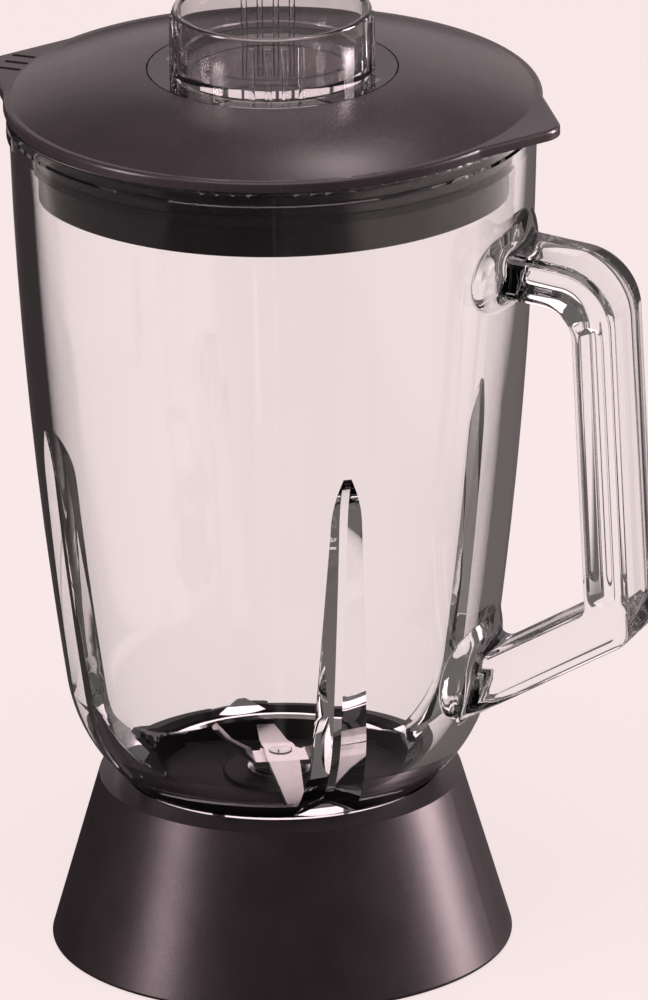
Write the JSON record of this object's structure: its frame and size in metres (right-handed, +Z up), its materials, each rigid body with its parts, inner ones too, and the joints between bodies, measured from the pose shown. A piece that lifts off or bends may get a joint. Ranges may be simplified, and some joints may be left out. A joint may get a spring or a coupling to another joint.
{
  "type": "blender jar",
  "caption": "Glass blender jar with a strap handle and inner ribs, a dark lid with a clear measuring cap, and a conical collar that carries the blades.",
  "frame": {"origin": "on the jar's axis in the plane of the collar's foot, at the mouth of the motor socket", "axes": "+Z up along the jar's axis, +X towards the handle"},
  "size_m": [0.1745, 0.1352, 0.2473],
  "materials": {
    "clear_glass": "gloss",
    "clear_plastic": "gloss",
    "lid_plastic": "satin",
    "collar_plastic": "satin metallic",
    "carrier_plastic": "satin",
    "coupling_plastic": "matt",
    "blade_steel": "brushed",
    "shaft_steel": "ground",
    "housing_metal": "turned",
    "bush_bronze": "sintered",
    "insert_brass": "turned",
    "seal_rubber": "matt",
    "felt": "felted"
  },
  "bodies": {
    "jar": {"base_collar": "collar_plastic", "glass_jar": "clear_glass", "jar_gasket": "seal_rubber", "blade_carrier": "carrier_plastic", "bearing_housing": "housing_metal", "lower_bush": "bush_bronze", "upper_bush": "bush_bronze", "oil_felt": "felt", "shaft_seal": "seal_rubber"},
    "blade_set": {"drive_shaft": "shaft_steel", "blade_spacer": "shaft_steel", "lower_blade": "blade_steel", "upper_blade": "blade_steel", "thrust_washer": "shaft_steel", "retaining_clip": "shaft_steel", "drive_coupling": "coupling_plastic", "coupling_insert": "insert_brass"},
    "cover": {"lid": "lid_plastic", "lid_seal": "seal_rubber"},
    "cap": {"measuring_cap": "clear_plastic"}
  },
  "joints": [
    {"name": "blade_spin", "type": "hinge", "parent": "jar", "child": "blade_set", "pos_m": [0, 0, 0.045], "axis": [0, 0, 1], "continuous": true},
    {"name": "lid_lift", "type": "slide", "parent": "jar", "child": "cover", "axis": [0, 0, 1], "range_m": [0, 0.06]},
    {"name": "cap_turn", "type": "hinge", "parent": "cover", "child": "cap", "pos_m": [0, 0, 0.2315], "axis": [0, 0, 1], "range_deg": [0, 60]}
  ]
}
